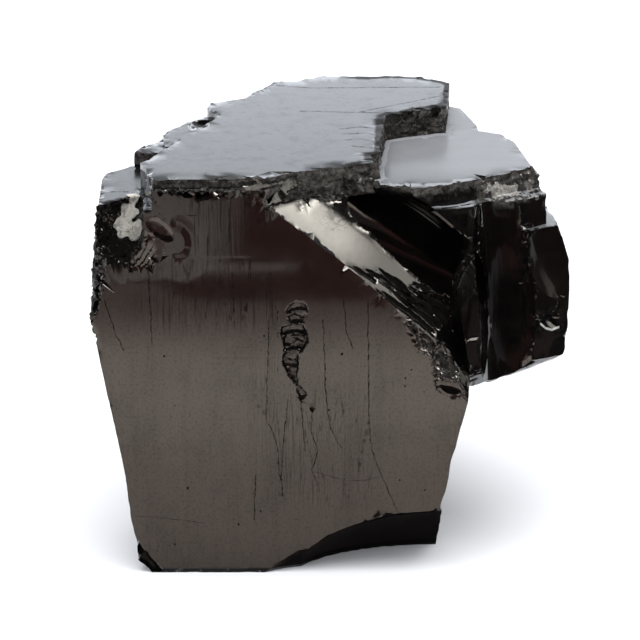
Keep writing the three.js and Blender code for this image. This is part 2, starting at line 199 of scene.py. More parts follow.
# Crusts of pale mineral: centre, size and how thick they lie.
CRUSTS = [((-21.2, 3.2, 39.4), 1.5, 1.0), ((-19.9, 2.5, 39.3), 1.4, 1.0), ((-20.7, 4.0, 40.9), 1.2, 0.8),
          ((-20.3, 4.9, 42.2), 0.9, 0.8), ((-23.8, 1.3, 35.2), 0.6, 1.0),
          ((18.5, 12.0, 40.9), 0.7, 0.8), ((19.6, 12.7, 40.3), 1.1, 1.0), ((20.6, 13.2, 40.1), 1.0, 1.0),
          ((21.4, 13.7, 40.1), 0.9, 1.0), ((23.4, 14.6, 40.6), 0.8, 0.6), ((24.6, 13.2, 40.2), 0.8, 0.5),
          ((4.9, 7.5, 44.3), 0.6, 0.6), ((4.3, 7.3, 43.6), 0.6, 0.6), ((-8.0, 1.4, 44.6), 0.35, 1.0),
          ((-6.3, 2.3, 44.5), 0.4, 0.6), ((10.5, 26.0, 44.4), 0.6, 0.5), ((12.8, 27.2, 44.0), 0.5, 0.5)]

# Broken ground: x, y and z from and to, how deep it is broken and how big its fragments are, mm.
BROKEN = [
    ((-18.2, -5.0), (-0.5, 2.4), (44.7, 45.4), 0.22, 1.0),  # the top bed's front rim
    ((-6.4, -2.4), (0.2, 4.4), (42.8, 45.3), 0.36, 1.6),  # its corner over the slope
    ((-2.4, 2.6), (3.0, 7.4), (43.4, 45.3), 0.16, 2.2),  # its wall over the slope
    ((-2.4, 2.6), (1.0, 7.4), (42.2, 43.0), 0.26, 1.0),
    ((2.6, 7.2), (5.0, 9.4), (42.3, 45.3), 0.38, 1.3),
    ((5.0, 8.2), (9.4, 25.0), (42.8, 45.3), 0.18, 2.0),  # its right end
    ((6.8, 15.4), (24.0, 29.4), (42.8, 45.3), 0.42, 1.7),  # its back step
    ((8.0, 18.0), (6.0, 13.0), (41.7, 42.4), 0.14, 0.8),  # the right ledge's edge
    ((17.6, 25.6), (11.0, 15.6), (40.0, 42.4), 0.34, 1.1),
    ((-25.6, -19.0), (0.3, 6.0), (36.4, 42.3), 0.3, 1.5),  # the left notch
    ((-25.8, -23.0), (-0.3, 5.0), (26.8, 37.0), 0.3, 1.7),  # the edge below it
]

# The bites in the front face, from the lowest up: [z, left x, right x].
BITE_SIDES = [(19.3, -1.0, -0.7), (19.8, -1.2, -0.4), (20.1, -1.2, -0.9), (20.5, -2.3, -1.9),
              (21.2, -2.5, -1.3), (21.8, -2.6, -1.7), (22.4, -2.7, -2.2), (23.4, -3.6, -2.4),
              (24.4, -4.0, -2.3), (25.2, -4.1, -2.3), (26.0, -4.1, -2.2), (26.6, -4.0, -1.7),
              (27.4, -4.1, -1.2), (28.2, -4.3, -1.2), (29.0, -4.4, -1.6), (29.4, -3.3, -1.7),
              (30.2, -3.4, -1.5), (31.0, -3.7, -1.2), (31.8, -3.2, -1.5), (32.2, -2.9, -1.9)]
# Their depth, from the lowest up: [height up the middle, depth].
BITE_DEPTHS = [(19.2, 0.0), (19.6, 0.3), (20.1, 0.05), (20.7, 0.08), (21.1, 0.34), (22.4, 0.22),
               (23.6, 0.34), (25.6, 0.5), (26.35, 0.16), (26.7, 0.62), (27.9, 0.52), (28.35, 0.18),
               (28.7, 0.56), (29.25, 0.36), (29.5, 0.1), (29.9, 0.34), (30.7, 0.3), (31.0, 0.1),
               (31.3, 0.36), (31.75, 0.26), (32.1, 0.0)]

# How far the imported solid's front face bows back from its plane: [x, depth].
FRONT_BOW = [(-16.65, 0.0), (-13.15, 0.125), (-10.25, 0.0), (-4.65, 0.0), (-1.55, 0.158),
             (6.45, 0.1), (13.35, 0.323)]
BOW_REACH = 2.0  # how far back the surface is straightened with it, mm
# Above LEAF_Z the front is the edge of thin leaves, and each stands back by less than LEAF_BOW.
LEAF_Z, LEAF_BOW = 41.88, 0.16

# The grooves down the bright slope: [way down the slope, how far back], from end to end.
GROOVES = [
    [(10.2, 0.35), (13.6, 0.95)],
    [(14.4, 0.35), (17.5, 0.6), (20.5, 1.05), (22.6, 1.45)],
    [(14.1, 1.26), (16.3, 1.6), (18.5, 1.45), (20.6, 1.87), (22.8, 2.15)],
    [(12.0, 1.05), (14.2, 1.62), (16.6, 1.95), (18.9, 1.98), (21.4, 2.52), (23.0, 2.75)],
    [(13.6, 2.09), (16.6, 2.35), (19.0, 2.46), (21.3, 3.00), (23.4, 3.35)],
    [(17.6, 2.96), (19.6, 3.18), (21.7, 3.82), (23.8, 4.2)],
    [(18.0, 3.4), (21.1, 4.3), (23.4, 4.95)],
]


# ---- the surface, refined

# Where the mesh is finer than elsewhere: x, y and z from and to, and how long its edges may be.
FINE = [((-5.0, -0.2), (-1, 2.0), (18.8, 32.8), 0.17),  # the chain of bites
        ((9.0, 17.2), (-1, 3.2), (20.4, 30.0), 0.22),  # the crumbled edge
        ((-18.4, -13.4), (-1, 0.3), (37.0, 41.4), 0.2),  # the ring-shaped dent
        ((-26.0, -17.8), (-1, 6.5), (35.8, 43.0), 0.25),  # the left notch
        ((-21.0, -17.5), (-1, 0.8), (-1, 5.6), 0.22)]  # the lower left corner
# How long they may be elsewhere, mm.
SLOPE_EDGE, BROKEN_EDGE, RIM_EDGE, CURVED_EDGE, FLAT_FACE_EDGE = 0.2, 0.3, 0.42, 1.0, 1.5


def grain(point, rim):
    """How long the mesh's edges may be at a point, in mm, at a distance from the nearest rim."""
    x, y, z = point
    for (x0, x1), (y0, y1), (z0, z1), length in FINE:
        if x0 < x < x1 and y0 < y < y1 and z0 < z < z1:
            return length
    if y < 5.0 and x > 1.5 and z > 24 and slope_depth(point) < 0.4:
        return SLOPE_EDGE
    for (x0, x1), (y0, y1), (z0, z1), _, _ in BROKEN:
        if x0 < x < x1 and y0 < y < y1 and z0 - 0.2 < z < z1:
            return BROKEN_EDGE
    if rim < 0.5:
        return RIM_EDGE
    if y < 0.05 or z > LEDGE_Z - 0.05:
        return FLAT_FACE_EDGE
    return CURVED_EDGE


def slope_depth(point):
    """How far a point lies below the bright slope's surface, in mm."""
    return min(reach.across(point).length - reach.radius for reach in SLOPE)


def lay_grid(shape, spacing=1.4, broad=10.0, small=0.3, start=0.17):
    """Scores the broad flat faces in even squares, so that no long slivers cross them. A square
    that was scored once is scored again along the next axis, down to a small area."""
    for axis in range(3):
        low = min(vert.co[axis] for vert in shape.verts)
        high = max(vert.co[axis] for vert in shape.verts)
        normal = Vector([float(axis == k) for k in range(3)])
        for step in range(1, int((high - low) / spacing) + 1):
            faces = [face for face in shape.faces if abs(face.normal[axis]) < 0.9
                     and face.calc_area() > (broad if axis == 0 else small)
                     and (axis == 0 or face.tag or face.calc_area() > broad)]
            for face in faces:
                face.tag = True
            edges = {edge for face in faces for edge in face.edges}
            verts = {vert for edge in edges for vert in edge.verts}
            bmesh.ops.bisect_plane(shape, geom=[*verts, *edges, *faces], dist=0.02,
                                   plane_co=normal * (low + step * spacing + start), plane_no=normal)


def refine(shape, rims, rounds=8, slack=1.35, finest=0.16):
    """Halves every edge that is too long for its place, round by round."""
    for _ in range(rounds):
        too_long = []
        for edge in shape.edges:
            length = edge.calc_length()
            if length > slack * finest:
                middle = (edge.verts[0].co + edge.verts[1].co) / 2
                if length > slack * grain(middle, rims.find(middle)[2]):
                    too_long.append(edge)
        if not too_long:
            return
        bmesh.ops.subdivide_edges(shape, edges=too_long, cuts=1)
        many_sided = [face for face in shape.faces if len(face.verts) > 3]
        bmesh.ops.triangulate(shape, faces=many_sided, quad_method="SHORT_EDGE")
        flat = [edge for edge in shape.edges
                if len(edge.link_faces) == 2 and edge.calc_face_angle(1.0) < LEVEL]
        bmesh.ops.beautify_fill(shape, faces=shape.faces[:], edges=flat, method="ANGLE")


def straighten_front(shape):
    """Brings the front cleavage face true, and what lies just behind it with it."""
    for vert in shape.verts:
        x, y, z = vert.co
        bow = follow(FRONT_BOW, x)[0] if z < LEAF_Z else (y if y < LEAF_BOW else 0.0)
        vert.co.y -= bow * (1 - smooth(0.0, BOW_REACH, y - bow))


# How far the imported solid's facets may lie from the true curves, mm: on the slope, on the other
# hollows, and at the next point along.
SLOPE_SLACK, FACET_SLACK, NEXT_SLACK = 0.45, 0.14, 0.2


def seat_curves(shape):
    """Moves the points inside each hollow on to its true curve, so that its facets go."""
    for vert in shape.verts:
        point = vert.co
        if 0.03 < point.y < 4.1 and point.z > 24 and all(egg.off(point) > 0.12 for egg in CRUMBLE):
            near = min(SLOPE, key=lambda reach: reach.across(point).length - reach.radius)
            if near.off(point) < SLOPE_SLACK:
                vert.co = near.seat(point)
                continue
        for form in CURVED:
            if form.off(point) < FACET_SLACK:
                if all(form.off(edge.other_vert(vert).co) < NEXT_SLACK for edge in vert.link_edges):
                    vert.co = form.seat(point)
                break


def rim_tree(shape, spacing=0.2):
    """A tree of points along the stone's sharp edges."""
    points = []
    for edge in shape.edges:
        if len(edge.link_faces) == 2 and edge.calc_face_angle(0.0) > FEATURE_ANGLE:
            start, end = (vert.co for vert in edge.verts)
            count = max(1, round((end - start).length / spacing))
            points += [start.lerp(end, k / count) for k in range(count + 1)]
    tree = kdtree.KDTree(len(points))
    for index, point in enumerate(points):
        tree.insert(point, index)
    tree.balance()
    return tree


# ---- relief

def bite_depth(x, z):
    """How deep the chain of little bites in the front face is."""
    if not (19.1 < z < 32.3 and -4.7 < x < -0.3):
        return 0.0
    here = Vector((x, 0, z))
    wander = 0.12 * wave(here, 0.8, 3.0)
    left, right = follow(BITE_SIDES, z + wander)
    sides = smooth(left - 0.02, left + 0.26, x + wander) * (1 - smooth(right - 0.3, right + 0.02, x))
    middle = (left + right) / 2 + 0.1
    arch = 0.42 * ((x - middle) / 1.2) ** 2 if z > 23 else 0.1
    depth = follow(BITE_DEPTHS, z + arch + wander)[0]
    return sides * depth * (0.8 + 0.25 * wave(here, 0.5, 7.0))


def corner_chip(x, z):
    """The dark chip at the front face's lower left corner."""
    beyond = -((x + 19.45) * 0.8 + (z - 2.75) * 0.6) + 0.28 * wave(Vector((x, 0, z)), 0.9, 2.0)
    return 0.55 * smooth(0.0, 0.5, beyond) if x < -17 and z < 5.6 else 0.0


def ring_dent(x, z):
    """The small ring-shaped dent, the lens-shaped one beside it and the flake below that."""
    across, up = x + 15.45, z - 38.7
    ring = math.hypot(across, up / 1.4)
    arc = max(0.0, min(ring - 0.85, 0.75, (2.45 - ring) * 0.9)) * smooth(-0.9, 0.1, across)
    along = (x + 17.3) * 0.78 - (z - 40.3) * 0.62
    aside = (x + 17.3) * 0.62 + (z - 40.3) * 0.78
    lens = 1 - smooth(0.55, 1.0, math.hypot(along / 2.0, aside / 0.95))
    flake = within(x, -18.0, -16.9, 0.12) * within(z, 36.9, 39.2, 0.15)
    return 0.06 * arc + lens * 0.045 * (x + 19.6) + flake * 0.035 * (39.6 - z)


def plate_fan(x, z):
    """Curved flakes that hang in a fan below the left notch."""
    fan = within(x, -21.6, -18.2, 0.7) * within(z, 36.3, 39.4, 0.7)
    bend = x + 0.16 * (39.4 - z) ** 2
    saw = (bend * 1.45 + 0.4 * wave(Vector((x, 0, z)), 1.1, 5.0)) % 1.0
    return fan * 0.16 * saw


def slope_place(point):
    """Where a point lies on the bright slope: [way down it, how far back]."""
    start = Vector((SLOPE_TOP[0], 0, SLOPE_TOP[1]))
    return (point - start).dot(SLOPE[0].along), point.y


def slope_sag(point):
    """How far the slope's bend is rounded off, which takes the light from it bit by bit."""
    if not (point.y < 4.7 and point.z > 19 and point.x > 1.5):
        return 0.0
    along = (point.x - SLOPE_BEND[0]) * 0.668 - (point.z - SLOPE_BEND[1]) * 0.745
    gap = max(0.0, 1 - abs(along) / (11.0 if along < 0 else 7.0))
    share = 1 - smooth(0.0, 1.6, slope_depth(point))
    return 0.66 * share * gap * gap


def groove_depth(point):
    """The grooves between the ridges that run down the lower half of the bright slope."""
    way, back = slope_place(point)
    wander = 0.05 * wave(point, 1.2, 4.0)
    depth = 0.0
    for line in GROOVES:
        start, end = line[0][0], line[-1][0]
        if start - 0.2 < way < end + 0.8:
            middle = follow(line, way)[0] + wander
            ends = smooth(start - 0.2, start + 2.2, way) * (1 - smooth(end, end + 0.8, way))
            wide = 0.12 + 0.06 * smooth(start, start + 5, way)
            gap = (back - middle) / wide
            steep = 1.0 if gap < 0 else 0.6
            depth = max(depth, ends * math.exp(-abs(gap * steep) ** 1.8))
    return depth


# The hollow in the lobe's face: its middle [x, z], half-width and half-height, and depth.
LOBE_FACE = ((21.4, 33.0), (6.0, 10.0), 0.62)


def lobe_hollow(x, z):
    """The shallow hollow in the lobe's face, and the fine ribs that run down it."""
    (mx, mz), (half, tall), deep = LOBE_FACE
    bowl = max(0.0, 1 - ((x - mx) / half) ** 2 - ((z - mz) / tall) ** 2)
    ribs = within(x, 19.2, 22.4, 0.5) * within(z, 25.5, 33.5, 2.0)
    ribs *= 0.014 * math.sin(2 * math.pi * (x + 0.02 * (z - 30) ** 2) / 0.62)
    return deep * bowl * bowl + ribs


def ripples(point, struck):
    """Low shell-like ribs that run round the spot where a flake was struck off."""
    away = (point - Vector(struck)).length + 0.8 * wave(point, 7.0, 4.0)
    fade = 0.35 + 0.65 * smooth(-0.3, 0.5, wave(point, 9.0, 8.0))
    return 0.07 * fade * math.sin(away * 2 * math.pi / (2.3 + 0.5 * wave(point, 14.0, 2.0)))


def broken_depth(point):
    """How deep broken ground is, and how much of it there is here."""
    depth = amount = 0.0
    for wide, back, (low, high), deep, size in BROKEN:
        if not low - 0.3 < point.z < high + 0.3:
            continue
        share = (within(point.x, *wide, 0.5) * within(point.y, *back, 0.5)
                 * within(point.z, low, high, 0.3))
        if share > amount:
            amount = share
            layered = Vector((point.x, point.y, point.z * 1.7))
            lumps = shards(layered, size, 2.0) + 0.35 * shards(layered, size / 2.3, 5.0)
            depth = deep * share * (0.35 - lumps)
    return depth, amount


def rim_wear(point):
    """How deep the chips along the rims are, place by place."""
    x, y, z = point
    if y < 0.8 and z < 44.0:
        if -5.4 < x < 0.6 and 18 < z < 33:
            return 0.0
        return 0.1 if x < 0 else 0.07
    return 0.13 if z > 41.5 else 0.18


def crumble(point):
    """The curled flakes of the crumbled edge, which lie along the slope: curl and fragment."""
    x, y, z = point
    along = (x - 9.5) * 0.62 - (z - 30) * 0.78
    across = (x - 9.5) * 0.78 + (z - 30) * 0.62
    curl = wave(Vector((across * 1.1, y, along * 0.5)), 0.6, 3.0)
    return abs(curl), shards(Vector((across, y * 0.6, along * 0.6)), 0.9, 1.0)


def relief(point, normal, rim):
    """How far the surface stands out (+) or lies in (-) at a point, in mm, how broken it is, and
    how much painted shade its recesses get, from 0 to 1."""
    x, y, z = point
    front = normal.y < -0.97 and y < 0.3
    top = normal.z > 0.97 and z > 41.0
    if z < 0.02 and normal.z < -0.9:
        return 0.0, 0.0, 0.0
    near_rim = 1 - smooth(0.0, 0.6, rim)
    chip = smooth(0.0, 0.4, wave(point, 1.7, 6.0)) + 0.35 * smooth(0.1, 0.5, wave(point, 0.7, 2.0))
    lift = -rim_wear(point) * chip * near_rim
    if front:
        lift -= ring_dent(x, z) + corner_chip(x, z) + plate_fan(x, z)
        # painted shade in the dark corner chip
        return lift, 0.0, smooth(0.1, 0.4, corner_chip(x, z))
    if top:
        return lift, 0.0, 0.0
    if y < 4.4 and z > 24 and slope_depth(point) < 0.15:
        groove = groove_depth(point)
        # painted shade in the grooves, as deep as they are
        return 0.4 * lift - 0.24 * groove, 0.0, groove
    depth, amount = broken_depth(point)
    lift -= depth
    # painted shade, darker where the broken ground lies deeper
    crevice_shade = 0.7 * smooth(0.02, 0.2, depth) * amount
    calm = smooth(0.2, 1.4, rim) * (1 - amount)
    if any(form.off(point) < CRUMBLE_REACH for form in CRUMBLE):
        curl, flake = crumble(point)
        # painted shade in the curls of the crumbled edge
        return lift - 0.3 * curl - 0.22 * flake, 0.4, 0.6 * smooth(0.15, 0.5, curl)
    for form, struck in zip(SCARS, STRUCK):
        if form.off(point) < ON_WALL:
            return lift + ripples(point, struck) * calm, amount, crevice_shade
    if x > 15.5 and y < 14 and z > 22:
        lift -= lobe_hollow(x, z) * smooth(0.3, 0.8, -normal.y)
    for form in (*FLUTES, *HOLLOW, *LOBE_BITES, OVAL_CHIP):
        if form.off(point) < ON_WALL:
            return lift + 0.012 * wave(point, 2.6, 1.0) * calm, amount, crevice_shade
    if y > 15 or z < 9 or x < -20:
        lift += (0.11 * wave(point, 6.0) + 0.03 * wave(point, 1.8, 1.0)) * calm
    else:
        lift += 0.02 * wave(point, 3.0) * calm
    return lift, amount, crevice_shade


def crust_cover(point):
    """How thick the pale crusts lie at a point, from 0 to 1."""
    crust = 0.0
    for centre, size, thick in CRUSTS:
        away = (point - Vector(centre)).length
        if away < size * 1.6:
            edge = size * (1.0 + 0.45 * wave(point, 0.8, 4.0))
            crust = max(crust, thick * (1 - smooth(edge * 0.7, edge, away)))
    return crust


def dressed_place(point, own_normal, rim):
    """Where a point of the surface comes to lie, and its marks: crust, broken, rim, and painted shade in
    recesses.
    """
    on_front = abs(point.y) < 0.02 and rim > 0.25
    normal = FRONT_OUT if on_front else own_normal
    lift, amount, crevice_shade = relief(point, normal, rim)
    crust = crust_cover(point)
    if crust > 0.3:
        lift *= 1 - 0.6 * crust
        lift += 0.1 * crust * max(0.0, 0.5 + wave(point, 0.45, 9.0))
    place = point + normal * lift
    x, y, z = point
    if -0.1 < y < 1.3 and normal.y < -0.2:
        bite = bite_depth(x, z)
        if bite > 0 or (abs(x + 2.6) < 2.2 and 19 < z < 32.8):
            place = Vector((x, bite, z))
            # painted shade, darker the deeper the bite
            crevice_shade = smooth(0.38, 0.6, bite)
    if y < 0.2 and -17.3 < x < -8.0 and 40.6 < z < 43.7 and own_normal.y < -0.3:
        place = Vector((x, ring_dent(x, z), z))  # the leaves' edges are level here
    place -= SLOPE_OUT * slope_sag(point)
    place.z = 0.0 if z < 0.02 else max(0.0, place.z)
    return place, (crust, amount, 1 - smooth(0.05, 0.9, rim), crevice_shade)


def add_item(name, data):
    """A new object in the scene."""
    item = bpy.data.objects.new(name, data)
    bpy.context.scene.collection.objects.link(item)
    return item


def mesh_from(shape, name):
    """The worked shape as a mesh of its own."""
    mesh = bpy.data.meshes.new(name)
    shape.to_mesh(mesh)
    shape.free()
    return mesh


def crease_edges(shape):
    """Shades the sharp edges as creases, and the slight ones beside the mirror-flat faces too."""
    for edge in shape.edges:
        if len(edge.link_faces) == 2:
            levels = [max(-face.normal.y, face.normal.z) for face in edge.link_faces]
            on_flat = max(levels) > 0.9995
            edge.smooth = edge.calc_face_angle(0.0) < (FLAT_EDGE if on_flat else SMOOTH_ANGLE)
    for face in shape.faces:
        face.smooth = True


def dress_surface():
    """The finished stone's mesh, in metres, with its broken ground, crusts, rims and painted shade
    marked.
    """
    shape = bmesh.new()
    shape.from_mesh(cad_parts[NODE].data)
    bmesh.ops.remove_doubles(shape, verts=shape.verts[:], dist=2e-6)
    to_stone = Matrix.Translation(STONE_ZERO) @ Matrix.Scale(1 / MM, 4)
    bmesh.ops.transform(shape, matrix=to_stone, verts=shape.verts[:])
    straighten_front(shape)
    bmesh.ops.dissolve_limit(shape, angle_limit=math.radians(0.4), verts=shape.verts[:],
                             edges=shape.edges[:])
    rims = rim_tree(shape)
    lay_grid(shape)
    bmesh.ops.triangulate(shape, faces=shape.faces[:])
    refine(shape, rims)
    bmesh.ops.dissolve_degenerate(shape, dist=0.012, edges=shape.edges[:])
    bmesh.ops.triangulate(shape, faces=[face for face in shape.faces if len(face.verts) > 3])
    seat_curves(shape)
    shape.normal_update()
    # the last mark is painted shade in recesses: grooves, chips, curls, bites and broken ground
    layers = [shape.verts.layers.float.new(name) for name in ("crust", "broken", "rim", "crevice_shade")]
    places = []
    for vert in shape.verts:
        rim = min(RIM_REACH, rims.find(vert.co)[2])
        place, marks = dressed_place(vert.co.copy(), vert.normal, rim)
        places.append(place)
        for layer, mark in zip(layers, marks):
            vert[layer] = mark
    for vert, place in zip(shape.verts, places):
        vert.co = place
    shape.normal_update()
    crease_edges(shape)
    bmesh.ops.transform(shape, matrix=to_stone.inverted(), verts=shape.verts[:])
    return mesh_from(shape, "shungite_stone")


# ---- shader maths

class Field:
    """A value, colour or direction that varies over a surface: a node's output, with arithmetic."""

    def __init__(self, board, socket):
        self.board, self.socket = board, socket

    def _maths(self, operation, *values):
        return self.board.node("Math", {"operation": operation}, dict(enumerate(values)))

    def __add__(self, other):
        return self._maths("ADD", self, other)

    __radd__ = __add__

    def __sub__(self, other):
        return self._maths("SUBTRACT", self, other)

    def __rsub__(self, other):
        return self._maths("SUBTRACT", other, self)

    def __mul__(self, other):
        return self._maths("MULTIPLY", self, other)

    __rmul__ = __mul__

    def __pow__(self, other):
        return self._maths("POWER", self, other)

    def most(self, other):
        return self._maths("MAXIMUM", self, other)

    def least(self, other):
        return self._maths("MINIMUM", self, other)

    def size(self):
        return self._maths("ABSOLUTE", self)

    def step(self, low, high):
        """0 at low, 1 at high and beyond, smooth between; low may be the larger."""
        return self.board.node("MapRange", {"interpolation_type": "SMOOTHSTEP"},
                               {"Value": self, "From Min": low, "From Max": high})


class Board:
    """A node tree that is written as expressions."""

    def __init__(self, tree):
        self.tree = tree
        tree.nodes.clear()

    def make(self, kind, settings=None, sockets=None):
        """Adds a node: its settings first, then its sockets' values or links."""
        made = self.tree.nodes.new("ShaderNode" + kind)
        for name, value in (settings or {}).items():
            setattr(made, name, value)
        for name, value in (sockets or {}).items():
            if isinstance(value, Field):
                self.tree.links.new(value.socket, made.inputs[name])
            else:
                made.inputs[name].default_value = value
        return made

    def node(self, kind, settings=None, sockets=None, out=0):
        """Adds a node and gives one of its outputs."""
        return Field(self, self.make(kind, settings, sockets).outputs[out])

    def colour(self, mask, first, second):
        """The first colour where the mask is 0 and the second where it is 1."""
        sockets = {0: mask, 6: first, 7: second}
        return self.node("Mix", {"data_type": "RGBA"}, sockets, out=2)

    def split(self, vector):
        """The three parts of a place or direction."""
        parts = self.make("SeparateXYZ", {}, {0: vector})
        return [Field(self, part) for part in parts.outputs]

    def surface(self, kind, sockets):
        """A shader, to be mixed or to be the board's surface."""
        return Field(self, self.make(kind, {}, sockets).outputs[0])

    def finish(self, surface, output="OutputMaterial"):
        self.make(output, {}, {"Surface": surface})

    def stretched(self, place, stretch, shift=(0, 0, 0)):
        """The place, stretched or squeezed along each axis, for a streaky pattern."""
        return self.node("Mapping", {"vector_type": "POINT"},
                         {"Vector": place, "Scale": stretch, "Location": shift})

    def speckle(self, place, scale, detail, rough):
        """Rolling noise from 0 to 1."""
        return self.node("TexNoise", {}, {"Vector": place, "Scale": scale,
                         "Detail": detail, "Roughness": rough})

    def cells(self, place, scale, feature="DISTANCE_TO_EDGE"):
        """Distance to the nearest cell's edge, or with "F1" to its middle."""
        sockets = {"Vector": place, "Scale": scale}
        return self.node("TexVoronoi", {"feature": feature}, sockets)

    def mark(self, name):
        """A value that was marked on the mesh's points."""
        return self.node("Attribute", {"attribute_name": name}, out=2)


def new_board(name):
    material = bpy.data.materials.new(name)
    material.use_nodes = True
    return material, Board(material.node_tree)


def rgba(red, green, blue):
    return (red, green, blue, 1.0)


# ---- finishes

STONE_IOR, DIRT_AND_SHADE_IOR, PAPER_IOR = 1.86, 1.14, 1.2

# Tones of the stone and what lies on it, all as linear light.
BLACK, WARM_BLACK = rgba(0.001, 0.001, 0.001), rgba(0.003, 0.0025, 0.0022)
# The soot tone is also the tone of painted shade, the right-end hollow's tone is painted shade, and the
# ledge's dust grey is partly a painted reflection.
SOOT_AND_SHADE, SCOOP_SHADE = rgba(0.004, 0.0035, 0.003), rgba(0.0035, 0.002, 0.0016)
TORN_GREY, DUST_AND_SHEEN = rgba(0.085, 0.078, 0.07), rgba(0.3, 0.308, 0.32)
CRUST_DARK, CRUST_PALE = rgba(0.4, 0.37, 0.31), rgba(0.74, 0.71, 0.65)
FLAKE_BEIGE = rgba(0.42, 0.41, 0.38)

# Fine cracks in the front face, [x, z] from end to end.
CRACKS = [
    [(-5.54, 29.9), (-5.93, 18.2), (-5.16, 16.8), (-4.62, 14.6), (-4.52, 11.8), (-4.08, 11.0)],
    [(5.21, 32.2), (5.38, 17.4), (5.72, 14.6), (6.73, 11.8), (8.52, 7.5)],
    [(0.33, 29.9), (0.66, 20.9), (1.1, 17.4), (2.31, 14.9)],
    [(-2.08, 20.3), (-1.87, 17.4), (-1.65, 14.6)],
    [(-0.77, 20.0), (-0.99, 17.0), (-0.22, 14.7), (-0.88, 12.3), (-0.22, 10.4)],
    [(-3.5, 20.6), (-3.96, 15.9), (-4.3, 11.1), (-3.98, 8.7)],
    [(2.6, 32.2), (2.83, 28.7), (3.6, 26.6)],
    [(-18.6, 36.6), (-18.3, 27.0)],
    [(-23.4, 32.2), (-22.2, 28.2), (-21.4, 26.4)],
    [(-7.06, 11.7), (-7.31, 6.3)],
]
# Fine cracks that run across it.
CROSS_CRACKS = [
    [(-0.55, 12.1), (2.54, 11.1), (4.86, 11.0), (6.51, 11.5)],
    [(-20.4, 6.8), (-17.7, 6.6), (-13.0, 6.0)],
]
# Small pits in it: [x, z] and half-width.
PITS = [((-17.0, 25.7), 0.16), ((-15.9, 19.9), 0.1), ((-14.6, 10.15), 0.2), ((-16.1, 3.4), 0.16),
        ((-9.0, 5.8), 0.16), ((2.4, 25.95), 0.2), ((9.3, 22.2), 0.14), ((10.0, 24.1), 0.12),
        ((1.0, 19.4), 0.15), ((-6.1, 28.05), 0.15), ((-6.6, 7.4), 0.14), ((8.8, 11.1), 0.12),
        ((11.6, 9.9), 0.13)]
# The edge of a small pale flake in the right end: [z, x].
FLAKE_EDGE = [(26.45, 24.5), (25.85, 25.1), (25.5, 25.8), (25.55, 26.6)]
# Hackle marks and scratches on the top bed: [y, x] from left to right.
TOP_MARKS = [
    [(19.75, 2.24), (20.51, 4.49), (19.75, 7.0)], [(17.86, 2.46), (18.24, 5.03), (16.74, 7.2)],
    [(15.62, 2.78), (15.99, 4.67), (14.13, 6.98)], [(13.39, 3.54), (12.29, 7.1)],
    [(26.29, 4.55), (29.43, 9.16), (33.42, 15.0)], [(37.07, -5.8), (35.85, -1.16), (36.25, 13.9)],
    [(26.68, -2.28), (25.9, 7.16)], [(16.9, 12.29), (21.4, 14.0)],
]
# Half-widths of the fine lines, and how far their straight pieces overlap, mm.
CRACK_WIDTH, CROSS_WIDTH, FLAKE_WIDTH, TOP_WIDTH, OVERLAP = 0.11, 0.085, 0.16, 0.3, 0.12


def joined(masks):
    """Several masks as one."""
    whole = None
    for mask in masks:
        whole = mask if whole is None else whole.most(mask)
    return whole


def bar_mask(across, along, start, end, width):
    """A straight piece of a fine line between two points of [across, along], as a mask."""
    low, high = min(start[1], end[1]), max(start[1], end[1])
    lean = (end[0] - start[0]) / (end[1] - start[1])
    gap = (across - (start[0] - start[1] * lean) - along * lean).size()
    return (gap.step(width, width * 0.3) * along.step(low - OVERLAP, low)
            * along.step(high + OVERLAP, high))


def line_mask(across, along, points, width):
    """A fine line through points of [across, along], as a mask."""
    ends = zip(points, points[1:])
    return joined(bar_mask(across, along, start, end, width) for start, end in ends)


def stone_place(board):
    """The place in stone millimetres, whole and in three parts."""
    own = board.node("TexCoord", out=3)
    place = board.stretched(own, (1 / MM, 1 / MM, 1 / MM), tuple(STONE_ZERO))
    return place, board.split(place)


class Spot:
    """What the stone's shader knows of a point: its place, how it faces, its marks and the
    noises that more than one finish uses."""

    def __init__(self, board):
        self.board = board
        self.place, (self.x, self.y, self.z) = stone_place(board)
        facing = board.split(board.node("TexCoord", out=1))
        self.front = facing[1].step(-0.93, -0.99) * self.y.step(1.2, 0.6)
        self.upward = facing[2].step(0.9, 0.985)
        self.rim, self.crust, self.broken = [board.mark(name) for name in ("rim", "crust", "broken")]
        self.cloud = board.speckle(self.place, 0.35, 5.0, 0.6)
        self.fine = board.speckle(self.place, 5.0, 4.0, 0.6)
        self.waver = (board.speckle(self.place, 0.9, 5.0, 0.7) - 0.5) * 0.7
        self.upright = board.stretched(self.place, (1.0, 1.0, 0.05))
        self.streaks = board.speckle(self.upright, 2.4, 5.0, 0.65)
        self.patchy = self.patches(1.1, 4.0, 0.7, 0.42, 0.6)
        self.under_band = (self.x.step(-22.5, -17) * self.x.step(3, -7)
                           * self.z.step(26.5, 31.5) * self.z.step(37.2, 36.6))
        self.ribbed = (self.x.step(-15, -13.4) * self.x.step(-6.5, -8.6)
                       * self.z.step(36.9, 37.4))

    def patches(self, scale, detail, rough, low, high, place=None):
        """Patches of rolling noise, 0 where it is below low and 1 where it is above high."""
        return self.board.speckle(place or self.place, scale, detail, rough).step(low, high)


def pit_mask(spot, middle, half):
    """A small ragged pit in the front face, as a mask."""
    off_x, off_z = spot.x - middle[0] + spot.waver * 0.3, spot.z - middle[1]
    return ((off_x * off_x + off_z * off_z * 0.6) ** 0.5).step(half, half * 0.4)


def front_cracks(spot):
    """The cracks that run up the front face, those that cross it, and its pits."""
    bent, level = spot.x + spot.waver * 0.9, spot.z + spot.waver * 0.5
    cracks = joined(line_mask(bent, spot.z, points, CRACK_WIDTH) for points in CRACKS)
    for points in CROSS_CRACKS:
        turned = [(height, across) for across, height in points]
        cracks = cracks.most(line_mask(level, spot.x, turned, CROSS_WIDTH) * 0.7)
    cracks = cracks * (0.5 + spot.patchy * 0.5)
    return cracks.most(joined(pit_mask(spot, middle, half) for middle, half in PITS))


